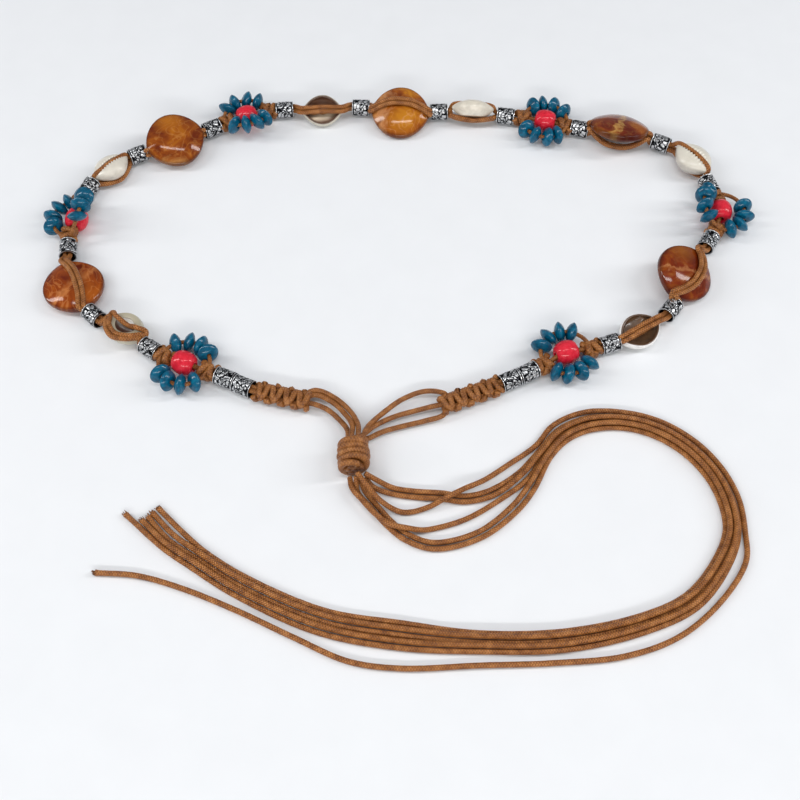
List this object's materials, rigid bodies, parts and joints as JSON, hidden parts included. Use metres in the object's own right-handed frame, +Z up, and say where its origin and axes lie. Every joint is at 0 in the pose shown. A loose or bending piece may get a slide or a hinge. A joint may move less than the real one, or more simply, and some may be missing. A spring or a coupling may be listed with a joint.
{
  "type": "braided bead tie belt",
  "caption": "Waist belt of waxed cord strung with cowries, marbled ovals, metal tubes and bead flowers, joined by one tie knot above long loose tails.",
  "frame": {"origin": "on the surface that the belt lies on, under the middle of the beaded loop without its tails", "axes": "+X to the wearer's side along the loop's long way, +Y away from the tie knot, +Z up from the surface"},
  "size_m": [0.2908, 0.2627, 0.0179],
  "materials": {
    "silver": "antiqued silver, dark in its recesses",
    "amber_resin": "polished marbled resin",
    "cowrie_shell": "glossy natural shell",
    "red_wood": "glossy red paint on a wooden bead",
    "teal_wood": "satin teal paint on wooden beads, on a cotton string with cotton knots",
    "waxed_cotton": "braided waxed cotton"
  },
  "bodies": {
    "root": {"amber_1": "amber_resin", "amber_2": "amber_resin", "amber_3": "amber_resin", "amber_4": "amber_resin", "amber_5": "amber_resin", "cord_span_1": "waxed_cotton", "cord_span_2": "waxed_cotton", "cord_span_3": "waxed_cotton", "cord_span_4": "waxed_cotton", "cord_span_5": "waxed_cotton", "cowrie_1": "cowrie_shell", "cowrie_2": "cowrie_shell", "cowrie_3": "cowrie_shell", "cowrie_4": "cowrie_shell", "cowrie_5": "cowrie_shell", "cowrie_6": "cowrie_shell", "flower_1_center": "red_wood", "flower_1_petals": "teal_wood", "flower_2_center": "red_wood", "flower_2_petals": "teal_wood", "flower_3_center": "red_wood", "flower_3_petals": "teal_wood", "flower_4_center": "red_wood", "flower_4_petals": "teal_wood", "flower_5_center": "red_wood", "flower_5_petals": "teal_wood", "flower_6_center": "red_wood", "flower_6_petals": "teal_wood", "sennit_left": "waxed_cotton", "sennit_right": "waxed_cotton", "tail_1": "waxed_cotton", "tail_2": "waxed_cotton", "tail_3": "waxed_cotton", "tail_4": "waxed_cotton", "tail_5": "waxed_cotton", "tail_6": "waxed_cotton", "tie_knot": "waxed_cotton", "tube_01": "silver", "tube_02": "silver", "tube_03": "silver", "tube_04": "silver", "tube_05": "silver", "tube_06": "silver", "tube_07": "silver", "tube_08": "silver", "tube_09": "silver", "tube_10": "silver", "tube_11": "silver", "tube_12": "silver", "tube_13": "silver", "tube_14": "silver", "tube_15": "silver", "tube_16": "silver", "tube_17": "silver", "tube_18": "silver", "tube_19": "silver", "tube_20": "silver"}
  },
  "joints": []
}
